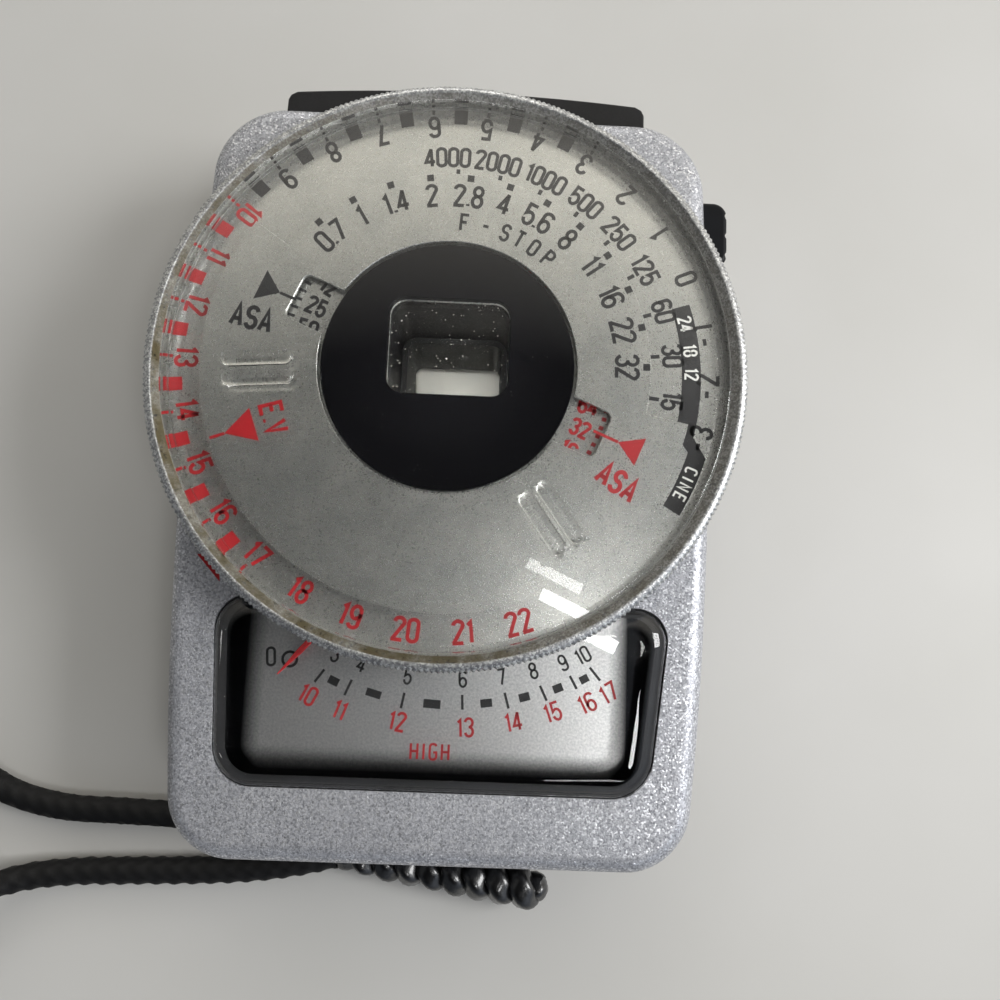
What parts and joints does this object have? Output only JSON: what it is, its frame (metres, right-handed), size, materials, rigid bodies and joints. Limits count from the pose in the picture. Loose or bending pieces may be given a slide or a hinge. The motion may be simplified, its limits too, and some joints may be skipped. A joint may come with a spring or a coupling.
{
  "type": "handheld light meter",
  "caption": "Handheld photographic light meter with a see-through sight, a knurled calculator dial, a needle scale under a clear window and a cord lanyard.",
  "frame": {"origin": "on the surface that the meter lies on, under the middle of its length and width, lanyard left out", "axes": "+Z out of the dial face, +Y towards the black end cap, +X to the side with the rocker key"},
  "size_m": [0.142, 0.1171, 0.0274],
  "materials": {
    "silver": "satin, fine grained",
    "plate_silver": "satin, printed",
    "steel": "bright",
    "brass": "plain",
    "copper": "enamelled wire",
    "magnet": "ground",
    "black_plastic": "fine moulded grain",
    "black_paint": "satin black print",
    "clear_acrylic": "polished, clear",
    "red_paint": "satin",
    "board": "laminate",
    "ruby": "polished",
    "cell": "coated",
    "cord": "braided"
  },
  "bodies": {
    "meter": {"front_shell": "silver", "scale_plate": "plate_silver", "film_speed_disc": "plate_silver", "housing_screw_1": "steel", "housing_screw_2": "steel", "housing_screw_3": "steel", "housing_screw_4": "steel", "dial_screw_1": "steel", "dial_screw_2": "steel", "rocker_pin": "steel", "key_bracket": "steel", "key_spring": "steel", "lanyard_eyelet": "steel", "return_ring": "steel", "upper_hairspring": "steel", "lower_hairspring": "steel", "button_cell": "steel", "scale_pillar_left": "brass", "scale_pillar_right": "brass", "friction_washer": "brass", "upper_bridge": "brass", "lower_bridge": "brass", "battery_top_contact": "brass", "battery_side_contact": "brass", "board_stand_lower": "brass", "board_stand_upper": "brass", "core_magnet": "magnet", "rear_cover": "black_plastic", "end_cap": "black_plastic", "sight_tube": "black_plastic", "cell_baffle": "black_plastic", "dial_hub": "black_plastic", "battery_tray": "black_plastic", "range_trimmer": "black_plastic", "lanyard_tie": "black_plastic", "centre_disc": "black_paint", "scale_window": "clear_acrylic", "cell_lens": "clear_acrylic", "front_sight_glass": "clear_acrylic", "rear_sight_glass": "clear_acrylic", "circuit_board": "board", "upper_jewel": "ruby", "lower_jewel": "ruby", "photocell": "cell", "lanyard_rear_strand": "cord", "lanyard_coil": "cord", "lanyard_front_strand": "cord", "lanyard_knot": "cord"},
    "speed_ring": {"knurled_ring": "silver", "speed_plate": "plate_silver"},
    "film_speed_crystal": {"crystal": "clear_acrylic", "aperture_plate": "plate_silver"},
    "needle_unit": {"needle": "red_paint", "moving_coil": "copper", "upper_staff": "steel", "lower_staff": "steel"},
    "rocker": {"rocker_key": "black_plastic"},
    "battery_cap": {"battery_cap": "black_plastic"},
    "zero_screw": {"zero_screw": "steel"},
    "zero_lever": {"zero_lever": "brass"}
  },
  "joints": [
    {"name": "speed_ring_turn", "type": "hinge", "parent": "meter", "child": "speed_ring", "pos_m": [0, 0.01015, 0.0235], "axis": [0, 0, 1], "continuous": true},
    {"name": "film_speed_turn", "type": "hinge", "parent": "meter", "child": "film_speed_crystal", "pos_m": [0, 0.01015, 0.0255], "axis": [0, 0, 1], "range_deg": [-24, 72]},
    {"name": "needle_swing", "type": "hinge", "parent": "meter", "child": "needle_unit", "pos_m": [0.0012, -0.0025, 0.0095], "axis": [0, 0, 1], "range_deg": [0, 81], "stiffness_Nm_per_rad": 0.00002, "springref_deg": -11.46},
    {"name": "rocker_press", "type": "hinge", "parent": "meter", "child": "rocker", "pos_m": [0.02607, 0.0302, 0.0144], "axis": [0, 0, 1], "range_deg": [-5, 5], "stiffness_Nm_per_rad": 0.06},
    {"name": "battery_cap_turn", "type": "hinge", "parent": "meter", "child": "battery_cap", "pos_m": [0.0135, -0.023, 0.001], "axis": [0, 0, -1], "range_deg": [0, 60]},
    {"name": "zero_screw_turn", "type": "hinge", "parent": "meter", "child": "zero_screw", "pos_m": [0.0012, -0.009, 0.001], "axis": [0, 0, 1], "range_deg": [-30, 30]},
    {"name": "zero_lever_turn", "type": "hinge", "parent": "meter", "child": "zero_lever", "pos_m": [0.0012, -0.0025, 0.0039], "axis": [0, 0, 1], "range_deg": [-4, 4]}
  ],
  "couplings": [
    {"joint": "zero_lever_turn", "follows": "zero_screw_turn", "ratio": -0.12}
  ]
}
